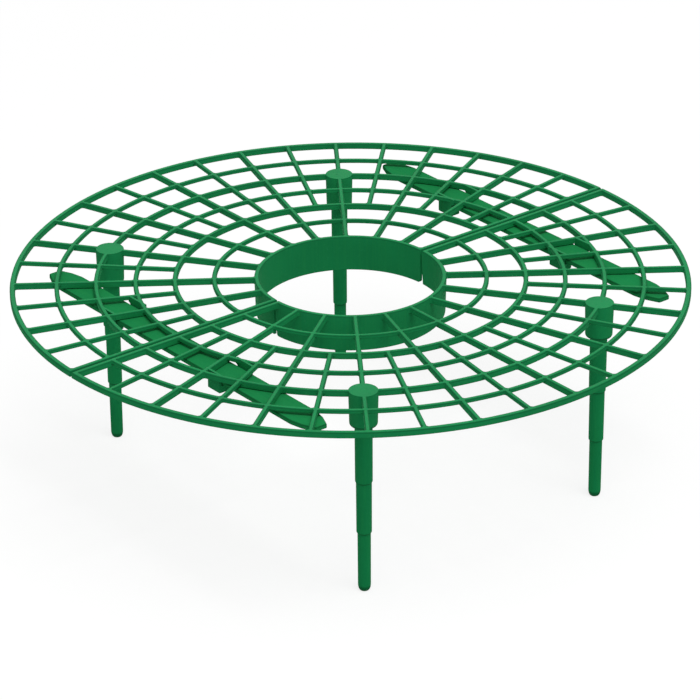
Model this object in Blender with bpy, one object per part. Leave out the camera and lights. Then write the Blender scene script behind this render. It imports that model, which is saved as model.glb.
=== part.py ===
"""Strawberry plant support: a round grid in two moulded halves, joined by two locking bars
that slide through keepers under the grid, and carried on four push-in legs.

The origin is on the ground under the middle of the grid, +Z is up, and the two halves meet
along the X axis. Everything is in metres.
"""

import math

import bmesh
import bpy
from mathutils import Vector

# Overall sizes
DISC_RADIUS = 0.150
SUPPORT_HEIGHT = 0.095
COLLAR_RADIUS = 0.0414

# Grid layout, counted over the whole circle
SECTOR_COUNT = 40
RING_COUNT = 5
SHORT_SPOKE_RING_NUMBER = 4
SOCKET_RING_NUMBER = 2
SOCKET_SECTOR = 6
KEEPER_SECTOR = 2.5

# Free space beside the first and the last ring
RIM_SPACE = 0.0206
COLLAR_SPACE = 0.0187

# Grid members
RIM_WIDTH = 0.0024
HEAVY_WIDTH = 0.0021
LIGHT_WIDTH = 0.0021
EDGE_BAR_WIDTH = 0.0022
HEAVY_DEPTH = 0.00265
LIGHT_DEPTH = 0.0017
COLLAR_WALL = 0.0022
COLLAR_DEPTH = 0.0165
SPLIT_GAP = 0.0009
MOULD_DRAFT = math.radians(0.6)
COLLAR_DRAFT = math.radians(1.5)
COLLAR_END_DRAFT = math.radians(1.8)
COLLAR_CORNER = 0.0015
ARC_STEP = math.radians(4.6)

# Clearance between pieces that touch
FIT_GAP = 0.0003

# Legs, from the bottom up
TIP_RADIUS = 0.0016
TIP_ROUNDING = 0.0016
LOWER_RADIUS = 0.00285
LOWER_LENGTH = 0.0282
MIDDLE_RADIUS = 0.00336
MIDDLE_LENGTH = 0.0242
UPPER_RADIUS = 0.0038
LEG_DRAFT = math.radians(0.15)
LEG_SHOULDER = 0.0005
LEG_TOP_CHAMFER = 0.0006
LEG_SIDES = 24

# Sockets that the legs push into
SOCKET_WALL = 0.0019
SOCKET_DEPTH = 0.0134
SOCKET_ROOF = 0.0026
SOCKET_DRAFT = math.radians(1.3)
SOCKET_MOUTH_WALL = 0.0006
SOCKET_ROUNDING = 0.0024
SOCKET_SIDES = 32

# Locking bars
BAR_WIDTH = 0.0136
BAR_THICKNESS = 0.0020
BAR_TAIL = 0.0562
BAR_TIP_LENGTH = 0.0120
BAR_TIP_WIDTH = 0.0058
BAR_CHEEK_WIDTH = 0.0111
BAR_EDGE_BEVEL = 0.0006
BAR_SHIFT = 0.0045

# Keepers that carry the bars
KEEPER_WALL = 0.0013
KEEPER_LIP = 0.0038
KEEPER_LIP_DEPTH = 0.0035
KEEPER_FILLET = 0.0014
KEEPER_EDGE_BEVEL = 0.0005

# Corners drawn with straight facets, and edges that stay sharp in the shading
ROUND_CORNER = tuple(math.radians(turn) for turn in (0, 30, 60, 90))
SHARP_EDGE = math.radians(35)

# Corners closer in height than this lie on one level
SAME_HEIGHT = 0.000001

# Values that follow from the sizes above
SECTOR_ANGLE = 2 * math.pi / SECTOR_COUNT
FIRST_RING_RADIUS = DISC_RADIUS - RIM_SPACE
LAST_RING_RADIUS = COLLAR_RADIUS + COLLAR_SPACE
RING_PITCH = (FIRST_RING_RADIUS - LAST_RING_RADIUS) / (RING_COUNT - 1)
SPLIT_EDGE = SPLIT_GAP / 2
BORE_RADIUS = UPPER_RADIUS + FIT_GAP
SOCKET_HEIGHT = SOCKET_DEPTH + SOCKET_ROOF
LEG_LENGTH = SUPPORT_HEIGHT - SOCKET_ROOF - FIT_GAP
BAR_TOP = SUPPORT_HEIGHT - HEAVY_DEPTH - FIT_GAP
BAR_BOTTOM = BAR_TOP - BAR_THICKNESS


def ring_radius(index):
    """Middle radius of a ring; the rim is ring 0 and the collar is the last one."""
    if index == 0:
        return DISC_RADIUS - RIM_WIDTH / 2
    if index > RING_COUNT:
        return COLLAR_RADIUS
    return FIRST_RING_RADIUS - (index - 1) * RING_PITCH


KEEPER_RADIUS = (ring_radius(SOCKET_RING_NUMBER) + ring_radius(SOCKET_RING_NUMBER + 1)) / 2
KEEPER_X = KEEPER_RADIUS * math.cos(KEEPER_SECTOR * SECTOR_ANGLE)
KEEPER_Y = KEEPER_RADIUS * math.sin(KEEPER_SECTOR * SECTOR_ANGLE)
BAR_LENGTH = 2 * (KEEPER_Y + BAR_TAIL)


def clear_scene():
    for old in list(bpy.data.objects):
        bpy.data.objects.remove(old, do_unlink=True)


def green_plastic(name, colour, roughness):
    material = bpy.data.materials.new(name)
    material.use_nodes = True
    shader = material.node_tree.nodes["Principled BSDF"]
    shader.inputs["Base Color"].default_value = (*colour, 1.0)
    shader.inputs["Roughness"].default_value = roughness
    shader.inputs["Metallic"].default_value = 0.0
    return material


def mesh_object(name, mesh, material=None):
    piece = bpy.data.objects.new(name, mesh)
    bpy.context.collection.objects.link(piece)
    if material:
        mesh.materials.clear()
        mesh.materials.append(material)
    return piece


def finish_bmesh(bm, name):
    bmesh.ops.recalc_face_normals(bm, faces=bm.faces)
    mesh = bpy.data.meshes.new(name)
    bm.to_mesh(mesh)
    bm.free()
    return mesh


def prism(outline, direction):
    """A flat outline of points, extruded along a direction."""
    bm = bmesh.new()
    face = bm.faces.new([bm.verts.new(point) for point in outline])
    extruded = bmesh.ops.extrude_face_region(bm, geom=[face])
    moved = [item for item in extruded["geom"] if isinstance(item, bmesh.types.BMVert)]
    bmesh.ops.translate(bm, verts=moved, vec=direction)
    bmesh.ops.recalc_face_normals(bm, faces=bm.faces)
    return bm


def bevel_level(bm, height, offset):
    """Chamfer the edges that lie at one height."""
    level = [
        edge
        for edge in bm.edges
        if all(abs(vert.co.z - height) < SAME_HEIGHT for vert in edge.verts)
    ]
    bmesh.ops.bevel(bm, geom=level, offset=offset, segments=1, affect="EDGES")


def turned_mesh(name, profile, sides):
    """A profile of (radius, height) points, turned once around Z, closed at both ends."""
    bm = bmesh.new()
    rows = []
    for radius, height in profile:
        ring = [
            bm.verts.new((radius * math.cos(turn), radius * math.sin(turn), height))
            for turn in (2 * math.pi * side / sides for side in range(sides))
        ]
        rows.append(ring)
    for lower, upper in zip(rows, rows[1:]):
        for side in range(sides):
            after = (side + 1) % sides
            bm.faces.new((lower[side], lower[after], upper[after], upper[side]))
    bm.faces.new(list(reversed(rows[0])))
    bm.faces.new(rows[-1])
    return finish_bmesh(bm, name)


def smooth_by_angle(mesh):
    mesh.shade_smooth()
    mesh.set_sharp_from_angle(angle=SHARP_EDGE)


def join_or_cut(target, tools, operation):
    """Apply one Boolean with each tool, then remove the tools."""
    for tool in tools:
        tool.hide_render = True
        tool.display_type = "WIRE"
        boolean = target.modifiers.new(operation.title(), "BOOLEAN")
        boolean.operation = operation
        boolean.solver = "EXACT"
        boolean.object = tool
    evaluated = target.evaluated_get(bpy.context.evaluated_depsgraph_get())
    result = bpy.data.meshes.new_from_object(evaluated)
    target.modifiers.clear()
    target.data = result
    for tool in tools:
        bpy.data.objects.remove(tool, do_unlink=True)


class Grid:
    """The ribs of one half, as cells between ring edges and spoke edges.

    A station is one edge of a ring, numbered from the rim inwards: even numbers are outer
    edges and odd numbers are inner edges. A column is a line that leaves the centre region at
    an angle and may be offset to one side, so both edges of a spoke stay parallel.
    """

    def __init__(self):
        self.cells = []
        self.collar = RING_COUNT + 1
        self.half_sectors = SECTOR_COUNT // 2

    def ring_width(self, ring):
        if ring == 0:
            return RIM_WIDTH
        if ring == self.collar:
            return COLLAR_WALL
        return HEAVY_WIDTH if self.ring_is_heavy(ring) else LIGHT_WIDTH

    def ring_is_heavy(self, ring):
        return ring % 2 == 0

    def ring_depth(self, ring):
        if ring == self.collar:
            return COLLAR_DEPTH
        return HEAVY_DEPTH if self.ring_is_heavy(ring) else LIGHT_DEPTH

    def spoke_is_heavy(self, spoke):
        return spoke % 2 == 0

    def spoke_depth(self, spoke):
        return HEAVY_DEPTH if self.spoke_is_heavy(spoke) else LIGHT_DEPTH

    def spoke_last_ring(self, spoke):
        return self.collar if self.spoke_is_heavy(spoke) else SHORT_SPOKE_RING_NUMBER

    def spoke_columns(self, spoke):
        """The two edge lines of a spoke, as (angle, offset to the left, slope with depth)."""
        angle = spoke * SECTOR_ANGLE
        slope = math.tan(MOULD_DRAFT)
        end_slope = math.tan(COLLAR_END_DRAFT)
        if spoke == 0:
            return (angle, SPLIT_EDGE, end_slope), (angle, SPLIT_EDGE + EDGE_BAR_WIDTH, -slope)
        if spoke == self.half_sectors:
            return (angle, -SPLIT_EDGE - EDGE_BAR_WIDTH, slope), (angle, -SPLIT_EDGE, -end_slope)
        half = (HEAVY_WIDTH if self.spoke_is_heavy(spoke) else LIGHT_WIDTH) / 2
        return (angle, -half, slope), (angle, half, -slope)

    def station_radius(self, station, depth):
        ring = station // 2
        draft = depth * math.tan(COLLAR_DRAFT if ring == self.collar else MOULD_DRAFT)
        half = self.ring_width(ring) / 2
        side = 1 if station % 2 == 0 else -1
        return ring_radius(ring) + side * (half - draft)

    def point(self, station, column, depth):
        angle, offset, slope = column
        radius = self.station_radius(station, depth)
        shifted = offset + depth * slope
        along = math.sqrt(radius * radius - shifted * shifted)
        x = along * math.cos(angle) - shifted * math.sin(angle)
        y = along * math.sin(angle) + shifted * math.cos(angle)
        return Vector((x, y, SUPPORT_HEIGHT - depth))

    def add_cell(self, outer, inner, right, left, depth):
        corners = ((outer, right), (outer, left), (inner, left), (inner, right))
        self.cells.append((corners, depth))

    def add_ring(self, ring):
        """Cells along one ring, with extra columns where a long arc has to stay round."""
        spokes = [
            spoke for spoke in range(self.half_sectors + 1) if ring <= self.spoke_last_ring(spoke)
        ]
        outer, inner = 2 * ring, 2 * ring + 1
        for spoke in spokes:
            right, left = self.spoke_columns(spoke)
            depth = max(self.ring_depth(ring), self.spoke_depth(spoke))
            self.add_cell(outer, inner, right, left, depth)
        for spoke, following in zip(spokes, spokes[1:]):
            start = self.spoke_columns(spoke)[1]
            end = self.spoke_columns(following)[0]
            sweep = (following - spoke) * SECTOR_ANGLE
            count = math.ceil(sweep / ARC_STEP)
            columns = [start]
            for step in range(1, count):
                columns.append((spoke * SECTOR_ANGLE + sweep * step / count, 0.0, 0))
            columns.append(end)
            for right, left in zip(columns, columns[1:]):
                self.add_cell(outer, inner, right, left, self.ring_depth(ring))

    def add_spoke(self, spoke):
        right, left = self.spoke_columns(spoke)
        for ring in range(self.spoke_last_ring(spoke)):
            self.add_cell(2 * ring + 1, 2 * ring + 2, right, left, self.spoke_depth(spoke))

    def edge_depths(self):
        """Depths of the cells that share each edge and each corner."""
        by_edge = {}
        by_corner = {}
        for corners, depth in self.cells:
            for start, end in zip(corners, corners[1:] + corners[:1]):
                by_edge.setdefault(frozenset((start, end)), []).append(depth)
                by_corner.setdefault(start, set()).add(depth)
        return by_edge, by_corner

    def build(self, name):
        for ring in range(self.collar + 1):
            self.add_ring(ring)
        for spoke in range(self.half_sectors + 1):
            self.add_spoke(spoke)
        by_edge, by_corner = self.edge_depths()
        bm = bmesh.new()
        verts = {}

        def vert(corner, depth):
            key = (corner, depth)
            if key not in verts:
                verts[key] = bm.verts.new(self.point(*corner, depth))
            return verts[key]

        for corners, depth in self.cells:
            bm.faces.new([vert(corner, 0.0) for corner in corners])
            bm.faces.new([vert(corner, depth) for corner in reversed(corners)])
            for start, end in zip(corners, corners[1:] + corners[:1]):
                shared = by_edge[frozenset((start, end))]
                top = min(shared) if len(shared) == 2 else 0.0
                if top < depth:
                    down = [level for level in sorted(by_corner[start]) if top < level < depth]
                    up = [level for level in sorted(by_corner[end]) if top < level < depth]
                    loop = [vert(start, top)]
                    loop += [vert(start, level) for level in down]
                    loop += [vert(start, depth), vert(end, depth)]
                    loop += [vert(end, level) for level in reversed(up)]
                    loop.append(vert(end, top))
                    bm.faces.new(loop)
        return finish_bmesh(bm, name)


def socket_tools():
    """Solid boss and bore for each leg of the half on the +Y side."""
    bosses = []
    bores = []
    mouth = SUPPORT_HEIGHT - SOCKET_HEIGHT
    wall_radius = BORE_RADIUS + SOCKET_WALL
    rounding = SOCKET_WALL - SOCKET_MOUTH_WALL
    boss_profile = []
    for turn in ROUND_CORNER:
        radius = wall_radius - rounding * (1 - math.sin(turn))
        boss_profile.append((radius, mouth + SOCKET_ROUNDING * (1 - math.cos(turn))))
    rise = SOCKET_HEIGHT - SOCKET_ROUNDING
    boss_profile.append((wall_radius + rise * math.tan(SOCKET_DRAFT), SUPPORT_HEIGHT))
    bore_profile = (
        (BORE_RADIUS, mouth - SOCKET_DEPTH),
        (BORE_RADIUS, SUPPORT_HEIGHT - SOCKET_ROOF),
    )
    for position in socket_positions():
        boss = mesh_object("boss", turned_mesh("boss", boss_profile, SOCKET_SIDES))
        bore = mesh_object("bore", turned_mesh("bore", bore_profile, LEG_SIDES))
        for tool, tools in ((boss, bosses), (bore, bores)):
            tool.location = (*position, 0.0)
            tools.append(tool)
    return bosses, bores


def socket_positions():
    """Centres of the two sockets of the half on the +Y side."""
    radius = ring_radius(SOCKET_RING_NUMBER)
    angle = SOCKET_SECTOR * SECTOR_ANGLE
    x, y = radius * math.cos(angle), radius * math.sin(angle)
    return (x, y), (-x, y)


def keeper_span(distance, facing):
    """Y values where a keeper wall at this X distance ends, in the ribs beside it."""
    if facing > 0:
        spoke = distance * math.tan(math.floor(KEEPER_SECTOR) * SECTOR_ANGLE)
        on_ring = math.sqrt(ring_radius(SOCKET_RING_NUMBER) ** 2 - distance ** 2)
        return spoke - HEAVY_WIDTH / 2, on_ring
    spoke = distance * math.tan(math.ceil(KEEPER_SECTOR) * SECTOR_ANGLE)
    ring_edge = ring_radius(SOCKET_RING_NUMBER + 1) - LIGHT_WIDTH / 2
    return math.sqrt(ring_edge ** 2 - distance ** 2), spoke


def keeper_flank(start, end, bottom):
    """Outline of a keeper from the side, as (y, z), with a fillet under the ribs at each end."""
    beyond = KEEPER_WALL
    rib_bottom = SUPPORT_HEIGHT - HEAVY_DEPTH
    fillet = [
        (KEEPER_FILLET * math.sin(turn), rib_bottom - KEEPER_FILLET * (1 - math.cos(turn)))
        for turn in ROUND_CORNER
    ]
    outline = [(start - beyond, SUPPORT_HEIGHT + beyond), (start - beyond, rib_bottom)]
    outline += [(start + y, z) for y, z in fillet]
    outline += [(start + KEEPER_FILLET, bottom - beyond), (end - KEEPER_FILLET, bottom - beyond)]
    outline += [(end - y, z) for y, z in reversed(fillet)]
    outline += [(end + beyond, rib_bottom), (end + beyond, SUPPORT_HEIGHT + beyond)]
    return outline


def keeper_tools():
    """L-shaped hooks that hang under the grid of the +Y half and carry the two bars."""
    lip_top = BAR_BOTTOM - FIT_GAP
    bottom = lip_top - KEEPER_LIP_DEPTH
    tools = []
    for side in (1, -1):
        for facing in (1, -1):
            inner = KEEPER_X + facing * (BAR_WIDTH / 2 + FIT_GAP)
            outer = inner + facing * KEEPER_WALL
            nose = inner - facing * KEEPER_LIP
            start, end = keeper_span((inner + outer) / 2, facing)
            section = (
                (outer, SUPPORT_HEIGHT),
                (outer, bottom),
                (nose, bottom),
                (nose, lip_top),
                (inner, lip_top),
                (inner, SUPPORT_HEIGHT),
            )
            hook = prism([(side * x, start, z) for x, z in section], Vector((0, end - start, 0)))
            flank_x = side * (outer + facing * KEEPER_WALL)
            flank_reach = side * (nose - outer - 2 * facing * KEEPER_WALL)
            flank = prism(
                [(flank_x, y, z) for y, z in keeper_flank(start, end, bottom)],
                Vector((flank_reach, 0, 0)),
            )
            keeper = mesh_object("keeper", finish_bmesh(hook, "keeper"))
            join_or_cut(keeper, [mesh_object("flank", finish_bmesh(flank, "flank"))], "INTERSECT")
            foot = bmesh.new()
            foot.from_mesh(keeper.data)
            bevel_level(foot, bottom, KEEPER_EDGE_BEVEL)
            keeper.data = finish_bmesh(foot, "keeper")
            tools.append(keeper)
    return tools


def collar_corner_tool():
    """Cutter that rounds the lower corner of the collar at the +X end of the half."""
    bottom = SUPPORT_HEIGHT - COLLAR_DEPTH
    end = SPLIT_EDGE + COLLAR_DEPTH * math.tan(COLLAR_END_DRAFT)
    start = COLLAR_RADIUS - COLLAR_WALL
    outline = [(start, end - COLLAR_CORNER, bottom + COLLAR_CORNER)]
    for turn in ROUND_CORNER:
        y = end + COLLAR_CORNER * (1 - math.cos(turn))
        outline.append((start, y, bottom + COLLAR_CORNER * (1 - math.sin(turn))))
    outline.append((start, end + COLLAR_CORNER, bottom - COLLAR_CORNER))
    outline.append((start, end - COLLAR_CORNER, bottom - COLLAR_CORNER))
    corner = prism(outline, Vector((2 * COLLAR_WALL, 0, 0)))
    return mesh_object("corner", finish_bmesh(corner, "corner"))


def grid_half(name):
    """One moulded half, on the +Y side of the split."""
    half = mesh_object(name, Grid().build(name))
    bosses, bores = socket_tools()
    join_or_cut(half, bosses + keeper_tools(), "UNION")
    join_or_cut(half, bores + [collar_corner_tool()], "DIFFERENCE")
    smooth_by_angle(half.data)
    return half


def leg_mesh():
    """A stepped peg with a rounded tip, standing on the ground."""
    first = LOWER_LENGTH
    second = LOWER_LENGTH + MIDDLE_LENGTH
    socket_mouth = SUPPORT_HEIGHT - SOCKET_HEIGHT
    slope = math.tan(LEG_DRAFT)
    reach = LOWER_RADIUS - LOWER_LENGTH * slope - TIP_RADIUS
    profile = []
    for turn in ROUND_CORNER:
        radius = TIP_RADIUS + reach * math.sin(turn)
        profile.append((radius, TIP_ROUNDING * (1 - math.cos(turn))))
    profile += [
        (LOWER_RADIUS, first - LEG_SHOULDER),
        (MIDDLE_RADIUS - MIDDLE_LENGTH * slope, first),
        (MIDDLE_RADIUS, second - LEG_SHOULDER),
        (UPPER_RADIUS - (socket_mouth - second) * slope, second),
        (UPPER_RADIUS, socket_mouth),
        (UPPER_RADIUS, LEG_LENGTH - LEG_TOP_CHAMFER),
        (UPPER_RADIUS - LEG_TOP_CHAMFER, LEG_LENGTH),
    ]
    mesh = turned_mesh("leg", profile, LEG_SIDES)
    smooth_by_angle(mesh)
    return mesh


def bar_mesh():
    """A flat bar along Y with narrowed ends and a bevelled upper edge."""
    half_length = BAR_LENGTH / 2
    straight = half_length - BAR_TIP_LENGTH
    shoulder = half_length - BAR_TIP_LENGTH / 2
    end = (
        (BAR_WIDTH / 2, straight),
        (BAR_CHEEK_WIDTH / 2, shoulder),
        (BAR_TIP_WIDTH / 2, half_length),
    )
    outline = [(x, y) for x, y in end]
    outline += [(-x, y) for x, y in reversed(end)]
    outline += [(-x, -y) for x, y in end]
    outline += [(x, -y) for x, y in reversed(end)]
    bm = prism([(x, y, 0.0) for x, y in outline], Vector((0, 0, BAR_THICKNESS)))
    bevel_level(bm, BAR_THICKNESS, BAR_EDGE_BEVEL)
    mesh = finish_bmesh(bm, "locking_bar")
    smooth_by_angle(mesh)
    return mesh


def place_halves():
    back = grid_half("grid_half_back")
    back.data.materials.clear()
    back.data.materials.append(green_plastic("grid_green", (0.020, 0.235, 0.085), 0.42))
    front = mesh_object("grid_half_front", back.data.copy())
    front.rotation_euler = (0, 0, math.pi)


def place_legs():
    material = green_plastic("leg_green", (0.012, 0.185, 0.065), 0.40)
    mesh = leg_mesh()
    mesh.materials.append(material)
    right, left = socket_positions()
    spots = (
        ("leg_back_right", right),
        ("leg_back_left", left),
        ("leg_front_left", (-right[0], -right[1])),
        ("leg_front_right", (-left[0], -left[1])),
    )
    for name, spot in spots:
        leg = mesh_object(name, mesh)
        leg.location = (*spot, 0.0)


def place_bars():
    material = green_plastic("bar_green", (0.014, 0.215, 0.075), 0.38)
    mesh = bar_mesh()
    mesh.materials.append(material)
    for name, side in (("locking_bar_right", 1), ("locking_bar_left", -1)):
        bar = mesh_object(name, mesh)
        bar.location = (side * KEEPER_X, -BAR_SHIFT, BAR_BOTTOM)


def main():
    clear_scene()
    place_halves()
    place_legs()
    place_bars()


main()
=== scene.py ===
"""Looks of a strawberry plant support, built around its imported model.

The support is a round lattice in two moulded halves, which two flat locking bars hold together,
on four push-in legs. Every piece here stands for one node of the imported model, in metres, in the
same place: the ground is at Z = 0 and the halves meet along the X axis.
"""

import logging
import math
from collections.abc import Callable, Iterable, Sequence
from dataclasses import dataclass, field, replace
from enum import Enum
from typing import Union

import bmesh
import bpy
from mathutils import Euler, Matrix, Vector


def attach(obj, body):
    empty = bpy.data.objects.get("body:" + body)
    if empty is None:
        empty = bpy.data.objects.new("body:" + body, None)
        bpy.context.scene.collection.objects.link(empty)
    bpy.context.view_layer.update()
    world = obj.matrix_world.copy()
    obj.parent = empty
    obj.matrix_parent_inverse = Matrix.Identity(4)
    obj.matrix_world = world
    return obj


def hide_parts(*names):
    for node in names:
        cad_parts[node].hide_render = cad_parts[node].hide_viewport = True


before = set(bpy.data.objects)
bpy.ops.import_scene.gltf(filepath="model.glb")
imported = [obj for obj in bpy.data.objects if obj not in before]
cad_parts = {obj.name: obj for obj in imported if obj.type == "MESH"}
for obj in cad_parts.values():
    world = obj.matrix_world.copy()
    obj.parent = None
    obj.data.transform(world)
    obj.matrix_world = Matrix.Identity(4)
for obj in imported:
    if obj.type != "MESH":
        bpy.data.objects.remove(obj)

LOG = logging.getLogger("plant_support")

Pair = tuple[float, float]
Triple = tuple[float, float, float]
Colour = Triple
Term = Union["Signal", float]

# A ring's edge with a shift outwards, a line's angle, offset and lean, and where the two cross
Station = tuple[int, float]
Column = Triple
Corner = tuple[Station, Column]

FULL_TURN = 2 * math.pi
QUARTER_TURN = math.pi / 2
SAME_PLACE = 0.000001
WHITE = (1.0, 1.0, 1.0, 1.0)

# Clearance between pieces that touch
FIT_GAP = 0.0003

# Edges that turn less than this aren't rounded
LEAST_TURN = math.radians(38)


# Mesh tools


def mesh_from(work: bmesh.types.BMesh) -> bpy.types.Mesh:
    """Turn a working mesh into a mesh with its faces turned outwards.

    Args:
        work: The working mesh, which is freed.

    Returns:
        The finished mesh.
    """
    bmesh.ops.recalc_face_normals(work, faces=work.faces)
    mesh = bpy.data.meshes.new("shape")
    work.to_mesh(mesh)
    work.free()
    return mesh


def object_from(data: bpy.types.ID, name: str) -> bpy.types.Object:
    """Put a mesh, lamp or camera into the scene.

    Args:
        data: What to show.
        name: Name of the new object and its data.

    Returns:
        The new object, at the origin.
    """
    data.name = name
    made = bpy.data.objects.new(name, data)
    bpy.context.scene.collection.objects.link(made)
    return made


def turned(profile: Sequence[Pair], turns: Sequence[float]) -> bpy.types.Mesh:
    """Turn a profile once around the Z axis and close it at both ends.

    Args:
        profile: Points of (radius, height) from the bottom up.
        turns: The angles of the corners of each ring, in radians.

    Returns:
        The closed turned mesh.
    """
    work = bmesh.new()
    rings = [
        [work.verts.new((radius * math.cos(turn), radius * math.sin(turn), height)) for turn in turns]
        for radius, height in profile
    ]
    count = len(turns)
    for lower, upper in zip(rings, rings[1:]):
        for side in range(count):
            after = (side + 1) % count
            work.faces.new((lower[side], lower[after], upper[after], upper[side]))
    work.faces.new(list(reversed(rings[0])))
    work.faces.new(rings[-1])
    return mesh_from(work)


def even_turns(count: int) -> list[float]:
    """Angles that divide a full turn evenly."""
    return [FULL_TURN * step / count for step in range(count)]


def extruded(outline: Sequence[Vector], reach: Vector) -> bpy.types.Mesh:
    """Push a flat outline along a direction.

    Args:
        outline: Corners of the flat face, in order.
        reach: How far and which way the face is pushed.

    Returns:
        The closed prism.
    """
    work = bmesh.new()
    face = work.faces.new([work.verts.new(point) for point in outline])
    grown = bmesh.ops.extrude_face_region(work, geom=[face])
    moved = [item for item in grown["geom"] if isinstance(item, bmesh.types.BMVert)]
    bmesh.ops.translate(work, verts=moved, vec=reach)
    return mesh_from(work)


def quarter_round(steps: int) -> list[Pair]:
    """How far the points of a rounded corner of radius 1 lie from its sides, from (1, 0) to (0, 1)."""
    turns = [QUARTER_TURN * step / steps for step in range(steps + 1)]
    return [(1 - math.sin(turn), 1 - math.cos(turn)) for turn in turns]


def round_where(
    mesh: bpy.types.Mesh, chosen: Callable[[bmesh.types.BMEdge], bool], size: float, steps: int
) -> None:
    """Round the edges of a mesh that pass a test.

    Args:
        mesh: The mesh to change.
        chosen: The test of an edge.
        size: How far the rounding reaches from the edge.
        steps: Facets across the rounding.
    """
    work = bmesh.new()
    work.from_mesh(mesh)
    work.normal_update()
    edges = [edge for edge in work.edges if chosen(edge)]
    bmesh.ops.bevel(work, geom=edges, offset=size, segments=steps, profile=0.5, affect="EDGES")
    work.to_mesh(mesh)
    work.free()


def round_sharp(mesh: bpy.types.Mesh, size: float, steps: int = 2, above: float = -math.inf) -> None:
    """Round every sharp outer edge of a mesh.

    Args:
        mesh: The mesh to change.
        size: How far the rounding reaches from the edge.
        steps: Facets across the rounding.
        above: Edges with an end below this height stay as they are.
    """

    def is_sharp(edge: bmesh.types.BMEdge) -> bool:
        """Whether an edge is an outer one, sharp and high enough."""
        sharp = len(edge.link_faces) == 2 and edge.calc_face_angle_signed() > LEAST_TURN
        return sharp and min(corner.co.z for corner in edge.verts) > above

    round_where(mesh, is_sharp, size, steps)


def round_level(mesh: bpy.types.Mesh, height: float, size: float, steps: int) -> None:
    """Round the edges of a mesh that lie at one height.

    Args:
        mesh: The mesh to change.
        height: Height of the edges.
        size: How far the rounding reaches from the edge.
        steps: Facets across the rounding.
    """

    def is_level(edge: bmesh.types.BMEdge) -> bool:
        """Whether both ends of an edge lie at the height."""
        return all(abs(corner.co.z - height) < SAME_PLACE for corner in edge.verts)

    round_where(mesh, is_level, size, steps)


class Joining(Enum):
    """What a set of solids does to a piece."""

    ADD = "UNION"
    CUT = "DIFFERENCE"
    TRIM = "INTERSECT"


def combine(target: bpy.types.Object, solids: Sequence[bpy.types.Object], joining: Joining) -> None:
    """Join, cut or trim a piece with a set of solids, and delete the solids.

    Args:
        target: The piece to change.
        solids: The closed solids to work with.
        joining: What the solids do to the piece.
    """
    tray = bpy.data.collections.new("tools")
    for solid in solids:
        bpy.context.scene.collection.objects.unlink(solid)
        tray.objects.link(solid)
    bpy.context.scene.collection.children.link(tray)
    step = target.modifiers.new("Joining", "BOOLEAN")
    step.operation = joining.value
    step.solver = "MANIFOLD"
    step.operand_type = "COLLECTION"
    step.collection = tray
    evaluated = target.evaluated_get(bpy.context.evaluated_depsgraph_get())
    joined = bpy.data.meshes.new_from_object(evaluated)
    target.modifiers.clear()
    target.data = joined
    for solid in solids:
        bpy.data.objects.remove(solid, do_unlink=True)
    bpy.data.collections.remove(tray)


# Shader tools


class Signal:
    """One output of a shader node, with the arithmetic that Math nodes give."""

    def __init__(self, bench: "ShaderBench", socket: bpy.types.NodeSocket | None) -> None:
        """Remember the node tree's bench and the socket, which an output node hasn't."""
        self.bench = bench
        self.socket = socket

    def _math(self, operation: str, *terms: Term) -> "Signal":
        """Add one Math node on these terms."""
        return self.bench.node("ShaderNodeMath", {"operation": operation}, dict(enumerate(terms)))

    def __add__(self, other: Term) -> "Signal":
        """Sum with a value or another signal."""
        return self._math("ADD", self, other)

    __radd__ = __add__

    def __sub__(self, other: Term) -> "Signal":
        """This signal less another."""
        return self._math("SUBTRACT", self, other)

    def __rsub__(self, other: Term) -> "Signal":
        """A value less this signal."""
        return self._math("SUBTRACT", other, self)

    def __mul__(self, other: Term) -> "Signal":
        """Product with a value or another signal."""
        return self._math("MULTIPLY", self, other)

    __rmul__ = __mul__

    def __abs__(self) -> "Signal":
        """This signal without its sign."""
        return self._math("ABSOLUTE", self)

    def at_least(self, floor: Term) -> "Signal":
        """The larger of this signal and another."""
        return self._math("MAXIMUM", self, floor)

    def spread(self, low: float, high: float) -> "Signal":
        """This signal eased from 0 at one value to 1 at another.

        Args:
            low: The value that becomes 0.
            high: The value that becomes 1.

        Returns:
            The eased signal, held between 0 and 1.
        """
        return self.bench.node(
            "ShaderNodeMapRange",
            {"interpolation_type": "SMOOTHSTEP", "clamp": True},
            {"Value": self, "From Min": low, "From Max": high, "To Min": 0.0, "To Max": 1.0},
        )


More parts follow.
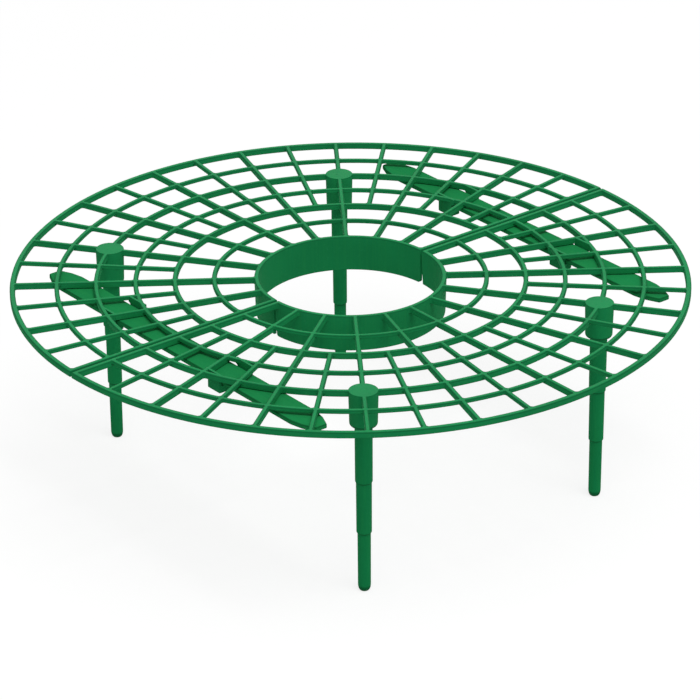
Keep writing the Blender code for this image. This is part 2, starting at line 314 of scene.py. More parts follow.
class ShaderBench:
    """Builds the nodes of one material or world."""

    def __init__(self, owner: bpy.types.Material | bpy.types.World) -> None:
        """Give the material or world an empty node tree.

        Args:
            owner: The material or world.
        """
        owner.use_nodes = True
        self.tree = owner.node_tree
        self.tree.nodes.clear()

    def node(
        self,
        kind: str,
        settings: dict[str, object] | None = None,
        inputs: dict[int | str, object] | None = None,
        output: int | str = 0,
    ) -> Signal:
        """Add one node.

        Args:
            kind: The node's type.
            settings: Properties of the node, which are set before its sockets.
            inputs: Values or signals for its sockets, by index or name.
            output: Which output to return, by index or name.

        Returns:
            The chosen output.
        """
        made = self.tree.nodes.new(kind)
        for name, value in (settings or {}).items():
            setattr(made, name, value)
        for key, value in (inputs or {}).items():
            socket = made.inputs[key]
            if isinstance(value, Signal):
                self.tree.links.new(value.socket, socket)
            else:
                socket.default_value = value
        return Signal(self, made.outputs[output] if made.outputs else None)

    def blend(self, amount: Term, first: object, second: object) -> Signal:
        """Blend two colours or signals, where an amount of 1 gives the second."""
        sockets = {0: amount, 6: self._rgba(first), 7: self._rgba(second)}
        return self.node("ShaderNodeMix", {"data_type": "RGBA"}, sockets, 2)

    @staticmethod
    def _rgba(colour: object) -> object:
        """A colour with its alpha, or the signal as it is."""
        return colour if isinstance(colour, Signal) else (*colour, 1.0)

    def vector(self, operation: str, *terms: object, output: int = 0) -> Signal:
        """Add one Vector Math node on these terms."""
        return self.node("ShaderNodeVectorMath", {"operation": operation}, dict(enumerate(terms)), output)

    def stretched(self, place: Signal, stretch: Triple) -> Signal:
        """The coordinates times one factor for each axis."""
        return self.vector("MULTIPLY", place, stretch)

    def position(self) -> Signal:
        """Where the surface is on its own piece, in metres."""
        return self.node("ShaderNodeTexCoord", output="Object")

    def upward(self) -> Signal:
        """How far the surface looks up, from -1 to 1."""
        facing = self.node("ShaderNodeNewGeometry", output="Normal")
        return self.node("ShaderNodeSeparateXYZ", inputs={0: facing}, output="Z")

    def emission(self, kind: str, strength: float) -> Signal:
        """Add a white Emission or Background node."""
        return self.node(kind, inputs={"Color": WHITE, "Strength": strength})

    def grey_paint(self, level: float) -> Signal:
        """Add a plain grey diffuse shader."""
        return self.node("ShaderNodeBsdfDiffuse", inputs={"Color": (level, level, level, 1.0)})

    def seen(self) -> Signal:
        """1 for what the camera sees, straight, in a reflection or through glass.

        Returns:
            The signal, which is 0 for light that only falls on the object.
        """
        camera, glossy, through = (
            self.node("ShaderNodeLightPath", output=f"Is {kind} Ray")
            for kind in ("Camera", "Glossy", "Transmission")
        )
        return camera.at_least(glossy).at_least(through)


# Finishes


class Grain(Enum):
    """Which way the plastic flowed, with the factor that draws its streaks out that way."""

    RADIAL = 0.12
    UPRIGHT = 0.08
    LENGTHWISE = 0.07


@dataclass(frozen=True)
class Mark:
    """One kind of mark in the plastic, made from noise.

    Attributes:
        size: Size of a mark, in metres.
        low: Noise at which the marks start to show.
        high: Noise at which they show in full.
        share: How much of their own colour they bring.
        dullness: How much rougher they make the surface.
        depth: How deep they lie, in metres.
        detail: How many finer layers lie on them.
        stir: How far they are stirred.
        layering: Strength of each finer layer against the one before.
    """

    size: float
    low: float = 0.0
    high: float = 1.0
    share: float = 1.0
    dullness: float = 0.0
    depth: float = 0.0
    detail: float = 2.0
    stir: float = 0.0
    layering: float = 0.55

    def noise(self, place: Signal) -> Signal:
        """The noise behind the marks.

        Args:
            place: The coordinates.

        Returns:
            The noise, around 0.5.
        """
        return place.bench.node("ShaderNodeTexNoise", inputs={
            "Vector": place,
            "Scale": 1 / self.size,
            "Detail": self.detail,
            "Roughness": self.layering,
            "Distortion": self.stir,
        })

    def shown(self, noise: Signal) -> Signal:
        """Where the marks show, up to their share."""
        return noise.spread(self.low, self.high) * self.share


CLOUDS = Mark(0.034, low=0.34, high=0.68, dullness=0.12, detail=3.0)
STREAKS = Mark(0.0016, low=0.36, high=0.78, share=0.34, dullness=0.07, depth=0.000006, detail=3.0, stir=0.3)
SPECKS = Mark(0.0011, low=0.56, high=0.74, share=0.22)
SCRATCHES = Mark(0.0006, low=0.60, high=0.70, dullness=0.09, detail=1.0, stir=1.2)
ORANGE_PEEL = Mark(0.0009, depth=0.00002, detail=1.5)
TOOL_MARKS = Mark(0.00028, depth=0.00001, detail=1.0)


@dataclass(frozen=True)
class MouldedGreen:
    """Green moulded plastic with a soft sheen.

    The body is deep and its fine specks are pale. Each tint holds the factors that turn the body
    colour into that between the clouds, of the streaks or of the painted shade on the rounded edges,
    which the specks break up. How level a face lies runs from 0 on a wall to 1 on top: the painted
    edge shade comes in over off_wall and goes out over near_top, so faces that slope between wall and
    top are painted darker, and the dullness of the walls goes out over off_slope. Radial streaks have
    their own size at streak_radius from the middle.
    """

    name: str
    deep: Colour
    pale: Colour
    grain: Grain
    streaks: Mark = STREAKS
    roughness: float = 0.42
    dark_tint: Triple = (0.86, 0.86, 0.86)
    streak_tint: Triple = (1.9, 1.07, 0.9)
    # Factors of the painted shade that darkens rounded edges and sloping faces
    painted_edge_shade_tint: Triple = (0.48, 0.48, 0.48)
    painted_shade_speckle: float = 0.25
    off_wall: Pair = (0.03, 0.15)
    near_top: Pair = (0.93, 0.998)
    off_slope: Pair = (0.80, 0.985)
    average_marks: float = 0.09
    side_dullness: float = 0.30
    scratch_stretch: Triple = (1.0, 0.16, 1.0)
    streak_radius: float = 0.075
    sheen: float = 0.055
    ior: float = 1.49

    def material(self) -> bpy.types.Material:
        """Build the material.

        Returns:
            The material, ready for a piece.
        """
        made = bpy.data.materials.new(self.name)
        bench = ShaderBench(made)
        place = bench.position()
        cloud = CLOUDS.noise(place)
        streak = self.streaks.noise(self._along_flow(place))
        level = abs(bench.upward())
        shader = bench.node("ShaderNodeBsdfPrincipled", inputs={
            "Base Color": self._colour(place, cloud, streak, level),
            "Roughness": self._roughness(place, cloud, streak, level),
            "IOR": self.ior,
            "Specular IOR Level": self.sheen,
            "Normal": self._relief(place, streak),
        })
        bench.node("ShaderNodeOutputMaterial", inputs={"Surface": shader})
        return made

    def _along_flow(self, place: Signal) -> Signal:
        """Coordinates that are drawn out along the way that the plastic flowed.

        Args:
            place: The coordinates.

        Returns:
            The coordinates of the streaks.
        """
        bench = place.bench
        if self.grain is Grain.UPRIGHT:
            return bench.stretched(place, (1.0, 1.0, self.grain.value))
        if self.grain is Grain.LENGTHWISE:
            return bench.stretched(place, (1.0, self.grain.value, 1.0))
        flat = bench.stretched(place, (1.0, 1.0, 0.0))
        outward = bench.vector("LENGTH", flat, output=1)
        around = bench.stretched(bench.vector("NORMALIZE", flat), (self.streak_radius,) * 3)
        lift = bench.node("ShaderNodeCombineXYZ", inputs={"Z": outward * self.grain.value})
        return bench.vector("ADD", around, lift)

    def _tinted(self, tint: Triple) -> Colour:
        """The body colour with a factor on each part."""
        return tuple(part * factor for part, factor in zip(self.deep, tint))

    def _colour(self, place: Signal, cloud: Signal, streak: Signal, level: Signal) -> Signal:
        """The body colour, with clouds, streaks, specks and painted shade on the rounded edges.

        Args:
            place: The coordinates.
            cloud: Noise of the clouds.
            streak: Noise of the streaks.
            level: How level the surface lies.

        Returns:
            The colour.
        """
        bench = place.bench
        speck = SPECKS.noise(place)
        # Painted shade: faces sloping between wall and top, such as rounded edges, are painted darker
        edge = level.spread(*self.off_wall) * (1.0 - level.spread(*self.near_top))
        body = bench.blend(CLOUDS.shown(cloud), self._tinted(self.dark_tint), self.deep)
        body = bench.blend(self.streaks.shown(streak), body, self._tinted(self.streak_tint))
        body = bench.blend(SPECKS.shown(speck), body, self.pale)
        speckled_painted_shade = edge * (1.0 - self.painted_shade_speckle + speck * self.painted_shade_speckle)
        return bench.blend(speckled_painted_shade, body, self._tinted(self.painted_edge_shade_tint))

    def _roughness(self, place: Signal, cloud: Signal, streak: Signal, level: Signal) -> Signal:
        """Roughness with clouds, streaks, fine scratches and duller walls.

        Args:
            place: The coordinates.
            cloud: Noise of the clouds.
            streak: Noise of the streaks.
            level: How level the surface lies.

        Returns:
            The roughness.
        """
        scratch = SCRATCHES.noise(place.bench.stretched(place, self.scratch_stretch))
        marked = cloud * CLOUDS.dullness + (self.roughness - self.average_marks)
        marked = marked + streak * self.streaks.dullness + SCRATCHES.shown(scratch) * SCRATCHES.dullness
        return marked + (1.0 - level.spread(*self.off_slope)) * self.side_dullness

    def _relief(self, place: Signal, streak: Signal) -> Signal:
        """Orange peel, tool marks and streaks as bump.

        Args:
            place: The coordinates.
            streak: Noise of the streaks.

        Returns:
            The surface's direction.
        """
        height = streak * self.streaks.depth
        for mark in (ORANGE_PEEL, TOOL_MARKS):
            height = height + mark.noise(place) * mark.depth
        return place.bench.node("ShaderNodeBump", inputs={"Strength": 1.0, "Distance": 1.0, "Height": height})


class Finish(Enum):
    """The three plastics of the support."""

    GRID = MouldedGreen(
        "grid_green", (0.010, 0.278, 0.088), (0.026, 0.340, 0.122), Grain.RADIAL, replace(STREAKS, stir=0.4)
    )
    LEG = MouldedGreen(
        "leg_green", (0.008, 0.272, 0.084), (0.020, 0.316, 0.107), Grain.UPRIGHT,
        replace(STREAKS, size=0.0014), 0.40
    )
    BAR = MouldedGreen(
        "bar_green", (0.011, 0.250, 0.073), (0.024, 0.300, 0.100), Grain.LENGTHWISE, roughness=0.78
    )

    def piece(self, mesh: bpy.types.Mesh, name: str, smooth_to: float) -> bpy.types.Object:
        """Make a piece of this plastic, shaded smooth with flat faces kept flat.

        Args:
            mesh: The mesh of the piece.
            name: Name of the piece.
            smooth_to: Edges that turn more than this angle stay sharp.

        Returns:
            The piece.
        """
        mesh.materials.clear()
        mesh.materials.append(bpy.data.materials.get(self.value.name) or self.value.material())
        mesh.shade_smooth()
        mesh.set_sharp_from_angle(angle=smooth_to)
        made = object_from(mesh, name)
        weighted = made.modifiers.new("Even_shading", "WEIGHTED_NORMAL")
        weighted.keep_sharp = True
        weighted.weight = 100
        return made


# The lattice


@dataclass(frozen=True)
class Ring:
    """One ring of the grid: its middle radius, its width and its depth below the top."""

    radius: float
    width: float
    depth: float


@dataclass(frozen=True)
class GridLayout:
    """Where the rings and spokes of the whole grid lie, in metres.

    Rings are counted from the rim, which is ring 0, to the collar; spokes are counted from the
    +X axis, a sector apart. Even rings and spokes are the heavy ones.
    """

    disc_radius: float = 0.150
    top: float = 0.095
    collar_radius: float = 0.0414
    rim_space: float = 0.0206
    collar_space: float = 0.0187
    sectors: int = 40
    rings: int = 5
    short_spoke_ring: int = 4
    rim_width: float = 0.0024
    heavy_width: float = 0.0021
    light_width: float = 0.0021
    edge_bar_width: float = 0.0022
    heavy_depth: float = 0.00265
    light_depth: float = 0.0017
    collar_wall: float = 0.0022
    collar_depth: float = 0.0165
    split_gap: float = 0.0009
    draft: float = math.radians(0.6)
    collar_draft: float = math.radians(1.5)
    collar_end_draft: float = math.radians(1.8)

    @property
    def collar(self) -> int:
        """Number of the collar, counted as a ring."""
        return self.rings + 1

    @property
    def half_sectors(self) -> int:
        """Sectors in one half."""
        return self.sectors // 2

    @property
    def sector(self) -> float:
        """Angle of one sector."""
        return FULL_TURN / self.sectors

    def is_heavy(self, number: int) -> bool:
        """Whether a ring or spoke is one of the heavy ones."""
        return number % 2 == 0

    def rib_width(self, number: int) -> float:
        """Width of a ring or spoke, seen from above."""
        return self.heavy_width if self.is_heavy(number) else self.light_width

    def rib_depth(self, number: int) -> float:
        """How far a ring or spoke reaches below the top of the grid."""
        return self.heavy_depth if self.is_heavy(number) else self.light_depth

    def ring(self, number: int) -> Ring:
        """One ring of the grid.

        Args:
            number: Number of the ring.

        Returns:
            The ring.
        """
        if number == 0:
            return Ring(self.disc_radius - self.rim_width / 2, self.rim_width, self.heavy_depth)
        if number == self.collar:
            return Ring(self.collar_radius, self.collar_wall, self.collar_depth)
        first = self.disc_radius - self.rim_space
        last = self.collar_radius + self.collar_space
        radius = first - (number - 1) * (first - last) / (self.rings - 1)
        return Ring(radius, self.rib_width(number), self.rib_depth(number))

    def last_ring(self, spoke: int) -> int:
        """The innermost ring that a spoke reaches."""
        return self.collar if self.is_heavy(spoke) else self.short_spoke_ring

    def spoke_edges(self, spoke: int) -> tuple[Column, Column]:
        """The two edge lines of a spoke.

        Args:
            spoke: Number of the spoke.

        Returns:
            The right and the left line, each as its angle, its offset to the left and how far
            it leans with depth.
        """
        angle = spoke * self.sector
        lean = math.tan(self.draft)
        end_lean = math.tan(self.collar_end_draft)
        split = self.split_gap / 2
        if spoke == 0:
            return (angle, split, end_lean), (angle, split + self.edge_bar_width, -lean)
        if spoke == self.half_sectors:
            return (angle, -split - self.edge_bar_width, lean), (angle, -split, -end_lean)
        half = self.rib_width(spoke) / 2
        return (angle, -half, lean), (angle, half, -lean)

    def place(self, corner: Corner, depth: float) -> Vector:
        """Where a corner of the grid lies at a depth.

        Args:
            corner: A ring's edge with a shift outwards, and a line.
            depth: Distance below the top of the grid.

        Returns:
            The point.
        """
        (edge, shift), (angle, offset, lean) = corner
        number, inner = divmod(edge, 2)
        ring = self.ring(number)
        draft = self.collar_draft if number == self.collar else self.draft
        half = ring.width / 2 - depth * math.tan(draft)
        radius = ring.radius + (-half if inner else half) + shift
        aside = offset + depth * lean
        along = math.sqrt(radius * radius - aside * aside)
        return Vector((
            along * math.cos(angle) - aside * math.sin(angle),
            along * math.sin(angle) + aside * math.cos(angle),
            self.top - depth,
        ))


@dataclass
class LatticeWeb:
    """The ribs of one half, with a small fillet in every corner between two ribs.

    The web is laid out as flat cells, each with a depth. Cells that share an edge leave a wall
    only where one is deeper than the other.
    """

    layout: GridLayout
    fillet: float = 0.0009
    fillet_steps: int = 3
    arc_step: float = math.radians(2.3)
    column_gap: float = 0.0004
    top_radius: float = 0.00058
    top_steps: int = 3
    edge_radius: float = 0.00018
    cells: list[tuple[tuple[Corner, ...], float]] = field(default_factory=list)

    def shifted(self, column: Column, distance: float) -> Column:
        """A line beside another, to its left."""
        angle, offset, lean = column
        return (angle, offset + distance, lean)

    def arc_columns(self, ring: int, spoke: int, following: int) -> list[Column]:
        """Lines that keep a ring round between two spokes.

        Args:
            ring: Number of the ring.
            spoke: The spoke at the start.
            following: The spoke at the end.

        Returns:
            The lines from one spoke to the next, with both spokes' facing edges.
        """
        layout = self.layout
        start = layout.spoke_edges(spoke)[1]
        end = layout.spoke_edges(following)[0]
        radius = layout.ring(ring).radius - layout.ring(ring).width / 2
        room = self.fillet + self.column_gap
        sweep = (following - spoke) * layout.sector
        count = math.ceil(sweep / self.arc_step)
        columns = [start, self.shifted(start, self.fillet)]
        for step in range(1, count):
            turn = sweep * step / count
            clear_of_start = radius * math.sin(turn) > start[1] + room
            clear_of_end = radius * math.sin(sweep - turn) > room - end[1]
            if clear_of_start and clear_of_end:
                columns.append((spoke * layout.sector + turn, 0.0, 0.0))
        return columns + [self.shifted(end, -self.fillet), end]

    def add(self, outer: Station, inner: Station, right: Column, left: Column, depth: float) -> None:
        """Add a four-sided cell between two ring edges and two lines."""
        self.cells.append((((outer, right), (outer, left), (inner, left), (inner, right)), depth))

    def lay_ring(self, ring: int) -> None:
        """Add the cells of one ring.

        Args:
            ring: Number of the ring.
        """
        layout = self.layout
        spokes = [spoke for spoke in range(layout.half_sectors + 1) if ring <= layout.last_ring(spoke)]
        outer, inner = (2 * ring, 0.0), (2 * ring + 1, 0.0)
        for spoke in spokes:
            right, left = layout.spoke_edges(spoke)
            self.add(outer, inner, right, left, max(layout.ring(ring).depth, layout.rib_depth(spoke)))
        for spoke, following in zip(spokes, spokes[1:]):
            columns = self.arc_columns(ring, spoke, following)
            for right, left in zip(columns, columns[1:]):
                self.add(outer, inner, right, left, layout.ring(ring).depth)

    def lay_spoke(self, spoke: int) -> None:
        """Add the cells of one spoke and the fillets at its two sides.

        Args:
            spoke: Number of the spoke.
        """
        layout = self.layout
        right, left = layout.spoke_edges(spoke)
        depth = layout.rib_depth(spoke)
        for ring in range(layout.last_ring(spoke)):
            start, end = 2 * ring + 1, 2 * ring + 2
            stations = ((start, 0.0), (start, -self.fillet), (end, self.fillet), (end, 0.0))
            for outer, inner in zip(stations, stations[1:]):
                self.add(outer, inner, right, left, depth)
            for edge, away, neighbour in ((start, -1, ring), (end, 1, ring + 1)):
                corner_depth = min(depth, layout.ring(neighbour).depth)
                if spoke > 0:
                    self.lay_fillet(edge, away, right, -1, corner_depth)
                if spoke < layout.half_sectors:
                    self.lay_fillet(edge, away, left, 1, corner_depth)

    def lay_fillet(self, edge: int, away: int, column: Column, side: int, depth: float) -> None:
        """Add the fan of cells that fills one corner between a ring and a spoke.

        Args:
            edge: The ring's edge.
            away: 1 where the corner opens outwards from the ring, -1 where it opens inwards.
            column: The spoke's edge line.
            side: 1 on the left of the spoke, -1 on its right.
            depth: How far the fillet reaches below the top.
        """
        points: list[Corner] = [((edge, away * self.fillet), column)]
        for out, aside in quarter_round(self.fillet_steps)[1:-1]:
            beside = self.shifted(column, side * self.fillet * aside)
            points.append(((edge, away * self.fillet * out), beside))
        points.append(((edge, 0.0), self.shifted(column, side * self.fillet)))
        corner = ((edge, 0.0), column)
        for first, second in zip(points, points[1:]):
            self.cells.append(((corner, first, second), depth))

    def mesh(self) -> bpy.types.Mesh:
        """Build the web.

        Returns:
            The closed mesh with rounded edges.
        """
        for ring in range(self.layout.collar + 1):
            self.lay_ring(ring)
        for spoke in range(self.layout.half_sectors + 1):
            self.lay_spoke(spoke)
        by_edge: dict[frozenset, list[float]] = {}
        by_corner: dict[Corner, set[float]] = {}
        for corners, depth in self.cells:
            for start, end in zip(corners, corners[1:] + corners[:1]):
                by_edge.setdefault(frozenset((start, end)), []).append(depth)
                by_corner.setdefault(start, set()).add(depth)
        work = bmesh.new()
        made: dict[tuple[Corner, float], bmesh.types.BMVert] = {}

        def vert(corner: Corner, depth: float) -> bmesh.types.BMVert:
            """The mesh's corner at a depth, made once.

            Args:
                corner: The corner of the cells.
                depth: Distance below the top of the grid.

            Returns:
                The corner of the mesh.
            """
            key = (corner, depth)
            if key not in made:
                made[key] = work.verts.new(self.layout.place(corner, depth))
            return made[key]

        for corners, depth in self.cells:
            work.faces.new([vert(corner, 0.0) for corner in corners])
            work.faces.new([vert(corner, depth) for corner in reversed(corners)])
            for start, end in zip(corners, corners[1:] + corners[:1]):
                shared = by_edge[frozenset((start, end))]
                top = min(shared) if len(shared) == 2 else 0.0
                if top >= depth:
                    continue
                down = [level for level in sorted(by_corner[start]) if top < level < depth]
                up = [level for level in sorted(by_corner[end], reverse=True) if top < level < depth]
                loop = [vert(start, level) for level in (top, *down, depth)]
                loop += [vert(end, level) for level in (depth, *up, top)]
                work.faces.new(loop)
        mesh = mesh_from(work)
        round_sharp(mesh, self.top_radius, self.top_steps, self.layout.top - self.top_radius / 2)
        round_sharp(mesh, self.edge_radius)
        return mesh


@dataclass(frozen=True)
class LegSocket:
    """A blind socket under a crossing of the grid, which a leg pushes into."""

    bore_radius: float = 0.0041
    wall: float = 0.0019
    depth: float = 0.0134
    roof: float = 0.0026
    draft: float = math.radians(1.3)
    mouth_wall: float = 0.0010
    rounding: float = 0.0013
    rounding_steps: int = 5
    top_radius: float = 0.0003
    top_steps: int = 3
    lead_in: float = 0.00025
    sides: int = 72

    @property
    def height(self) -> float:
        """Height of the socket from its mouth to the top of the grid."""
        return self.depth + self.roof

    def boss(self, top: float) -> bpy.types.Mesh:
        """The solid of the socket before its bore is cut.

        Args:
            top: Height of the top of the grid.

        Returns:
            The turned boss, around the Z axis.
        """
        mouth = top - self.height
        outer = self.bore_radius + self.wall
        inset = self.wall - self.mouth_wall
        rim = outer + (self.height - self.rounding) * math.tan(self.draft)
        profile = [
            (outer - inset * near, mouth + self.rounding * up)
            for near, up in quarter_round(self.rounding_steps)
        ] + [
            (rim - self.top_radius * near, top - self.top_radius * down)
            for down, near in quarter_round(self.top_steps)
        ]
        return turned(profile, even_turns(self.sides))

    def bore(self, top: float) -> bpy.types.Mesh:
        """The space that is cut for the leg.

        Args:
            top: Height of the top of the grid.

        Returns:
            The turned cutter, around the Z axis.
        """
        mouth = top - self.height
        profile = (
            (self.bore_radius + self.lead_in, mouth - self.depth),
            (self.bore_radius + self.lead_in, mouth),
            (self.bore_radius, mouth + 2 * self.lead_in),
            (self.bore_radius, top - self.roof),
        )
        return turned(profile, even_turns(self.sides))


@dataclass(frozen=True)
class BarKeeper:
    """The two hooks under the grid that one end of a locking bar runs through."""

    layout: GridLayout
    outer_ring: int = 2
    sector: float = 2.5
    wall: float = 0.0013
    lip: float = 0.0038
    lip_depth: float = 0.0035
    fillet: float = 0.0014
    fillet_steps: int = 5
    foot_bevel: float = 0.0005
    foot_steps: int = 3
    bar_width: float = 0.0136
    bar_thickness: float = 0.0020
    edge_radius: float = 0.00022

    @property
    def aside(self) -> float:
        """Distance of the keeper's middle from the Y axis."""
        radii = [self.layout.ring(self.outer_ring + inward).radius for inward in (1, 0)]
        return sum(radii) / 2 * math.cos(self.sector * self.layout.sector)

    @property
    def bar_bottom(self) -> float:
        """Height of the underside of the bar."""
        return self.layout.top - self.layout.heavy_depth - FIT_GAP - self.bar_thickness

    def span(self, distance: float, facing: int) -> Pair:
        """Where a wall ends in the ribs beside it.

        Args:
            distance: Distance of the wall from the Y axis.
            facing: 1 for the wall towards the rim, -1 for the wall towards the collar.

        Returns:
            The Y values of its ends.
        """
        layout = self.layout
        if facing > 0:
            spoke = distance * math.tan(math.floor(self.sector) * layout.sector)
            on_ring = math.sqrt(layout.ring(self.outer_ring).radius ** 2 - distance ** 2)
            return spoke - layout.heavy_width / 2, on_ring
        spoke = distance * math.tan(math.ceil(self.sector) * layout.sector)
        ring_edge = layout.ring(self.outer_ring + 1).radius - layout.light_width / 2
        return math.sqrt(ring_edge ** 2 - distance ** 2), spoke

    def flank(self, start: float, end: float, bottom: float) -> list[Pair]:
        """Outline of a hook from the side, with a fillet under the ribs at each end.

        Args:
            start: Y value of its first end.
            end: Y value of its last end.
            bottom: Height of its underside.

        Returns:
            Points of (y, z), reaching beyond the hook at its ends, top and bottom.
        """
        beyond = self.wall
        top, rib_bottom = self.layout.top, self.layout.top - self.layout.heavy_depth
        curve = [
            (self.fillet * (1 - left), rib_bottom - self.fillet * down)
            for left, down in quarter_round(self.fillet_steps)
        ]
        points = [(start - beyond, top + beyond), (start - beyond, rib_bottom)]
        points += [(start + y, z) for y, z in curve]
        points += [(start + self.fillet, bottom - beyond), (end - self.fillet, bottom - beyond)]
        points += [(end - y, z) for y, z in reversed(curve)]
        return points + [(end + beyond, rib_bottom), (end + beyond, top + beyond)]

    def solids(self, side: int) -> list[bpy.types.Object]:
        """The hooks on one side of the half.

        Args:
            side: 1 for the +X side, -1 for the -X side.

        Returns:
            Two closed solids.
        """
        lip_top = self.bar_bottom - FIT_GAP
        bottom = lip_top - self.lip_depth
        top = self.layout.top
        made = []
        for facing in (1, -1):
            inner = self.aside + facing * (self.bar_width / 2 + FIT_GAP)
            outer = inner + facing * self.wall
            nose = inner - facing * self.lip
            start, end = self.span((inner + outer) / 2, facing)
            section = (
                (outer, top), (outer, bottom), (nose, bottom), (nose, lip_top), (inner, lip_top), (inner, top)
            )
            outline = [Vector((side * x, start, z)) for x, z in section]
            hook = object_from(extruded(outline, Vector((0, end - start, 0))), "keeper")
            edge = outer + facing * self.wall
            sides = [Vector((side * edge, y, z)) for y, z in self.flank(start, end, bottom)]
            reach = Vector((side * (nose - facing * self.wall - edge), 0, 0))
            combine(hook, [object_from(extruded(sides, reach), "flank")], Joining.TRIM)
            round_level(hook.data, bottom, self.foot_bevel, self.foot_steps)
            round_sharp(hook.data, self.edge_radius)
            made.append(hook)
        return made


@dataclass
class LatticeHalf:
    """One moulded half of the grid, with its half of the collar, two sockets and two keepers."""

    layout: GridLayout
    socket: LegSocket
    keeper: BarKeeper
    socket_ring: int = 2
    socket_sector: int = 6
    collar_corner: float = 0.0015
    corner_steps: int = 5
    smooth_to: float = math.radians(48)
    mesh: bpy.types.Mesh | None = None

    def socket_places(self) -> list[Pair]:
        """Middles of the two sockets, seen from above.

        Returns:
            X and Y of the right and the left one.
        """
        radius = self.layout.ring(self.socket_ring).radius
        angle = self.socket_sector * self.layout.sector
        x, y = radius * math.cos(angle), radius * math.sin(angle)
        return [(x, y), (-x, y)]

    def collar_corner_cutter(self) -> bpy.types.Object:
        """The solid that rounds the lower corner of the collar at its +X end.

        Returns:
            The closed cutter.
        """
        layout = self.layout
        bottom = layout.top - layout.collar_depth
        end = layout.split_gap / 2 + layout.collar_depth * math.tan(layout.collar_end_draft)
        x, size = layout.collar_radius - layout.collar_wall, self.collar_corner
        curve = [
            (end + size * along, bottom + size * up) for up, along in quarter_round(self.corner_steps)
        ]
        places = [
            (end - size, bottom + size), *curve, (end + size, bottom - size), (end - size, bottom - size)
        ]
        outline = [Vector((x, y, z)) for y, z in places]
        return object_from(extruded(outline, Vector((2 * layout.collar_wall, 0, 0))), "corner")

    def build(self) -> bpy.types.Mesh:
        """Build the half on the +Y side.

        Returns:
            The closed mesh.
        """
        half = object_from(LatticeWeb(self.layout).mesh(), "lattice")
        added = self.keeper.solids(1) + self.keeper.solids(-1)
        cut = [self.collar_corner_cutter()]
        for x, y in self.socket_places():
            for shape, tools in ((self.socket.boss, added), (self.socket.bore, cut)):
                tool = object_from(shape(self.layout.top), "socket_tool")
                tool.data.transform(Matrix.Translation((x, y, 0.0)))
                tools.append(tool)
        combine(half, added, Joining.ADD)
        combine(half, cut, Joining.CUT)
        self.mesh = half.data
        bpy.data.objects.remove(half, do_unlink=True)
        return self.mesh

    def piece(self, name: str, turn: float) -> bpy.types.Object:
        """A copy of the half, turned to its side of the grid and dressed.

        Args:
            name: Name of the piece.
            turn: Angle about the Z axis.

        Returns:
            The piece.
        """
        mesh = (self.mesh or self.build()).copy()
        mesh.transform(Matrix.Rotation(turn, 4, "Z"))
        return Finish.GRID.piece(mesh, name, self.smooth_to)


# Legs and bars


@dataclass(frozen=True)
class Leg:
    """A stepped peg with a blunt tip and a fine parting line down each side.

    The shoulder curve runs from 0 to 1 of a step's width, with heights in shoulders.
    """

    length: float
    socket_mouth: float
    upper_radius: float
    tip_radius: float = 0.0016
    tip_height: float = 0.0030
    tip_steps: int = 6
    foot_inset: float = 0.0002
    foot_rise: float = 0.00006
    lower_radius: float = 0.00285
    lower_length: float = 0.0282
    middle_radius: float = 0.00336
    middle_length: float = 0.0242
    draft: float = math.radians(0.15)
    shoulder: float = 0.0005
    shoulder_curve: tuple[Pair, ...] = ((0.0, -1.2), (0.10, -0.95), (0.50, -0.45), (0.88, -0.10), (1.0, 0.30))
    top_chamfer: float = 0.0006
    parting_height: float = 0.00006
    parting_width: float = math.radians(3.2)
    sides: int = 48
    smooth_to: float = math.radians(40)

    def profile(self) -> list[Pair]:
        """The outline of the peg from its tip up.

        Returns:
            Points of (radius, height).
        """
        first, second = self.lower_length, self.lower_length + self.middle_length
        lean = math.tan(self.draft)
        reach = self.lower_radius - first * lean - self.tip_radius
        points = [(self.tip_radius - self.foot_inset, 0.0), (self.tip_radius, self.foot_rise)]
        points += [
            (self.tip_radius + reach * (1 - left), self.tip_height * up)
            for left, up in quarter_round(self.tip_steps)[1:]
        ]
        for below, upper, start, end in (
            (self.lower_radius, self.middle_radius, first, second),
            (self.middle_radius, self.upper_radius, second, self.socket_mouth),
        ):
            step = upper - (end - start) * lean - below
            points += [
                (below + part * step, start + lift * self.shoulder) for part, lift in self.shoulder_curve
            ]
        points += [
            (self.upper_radius, self.socket_mouth),
            (self.upper_radius, self.length - self.top_chamfer),
            (self.upper_radius - self.top_chamfer, self.length),
        ]
        return points

    def piece(self, name: str, place: Pair) -> bpy.types.Object:
        """Build one leg and dress it.

        Args:
            name: Name of the piece.
            place: Where it stands, seen from above.

        Returns:
            The piece.
        """
        turns = even_turns(self.sides)
        for seam in (0.0, math.pi):
            turns += [(seam + aside) % FULL_TURN for aside in (-self.parting_width, self.parting_width)]
        mesh = turned(self.profile(), sorted(turns))
        for corner in mesh.vertices:
            radius = math.hypot(corner.co.x, corner.co.y)
            on_line = abs(corner.co.y) < SAME_PLACE
            below_socket = self.tip_height < corner.co.z < self.socket_mouth - self.shoulder
            if on_line and below_socket:
                corner.co.x *= 1 + self.parting_height / radius
        mesh.transform(Matrix.Translation((*place, 0.0)))
        return Finish.LEG.piece(mesh, name, self.smooth_to)


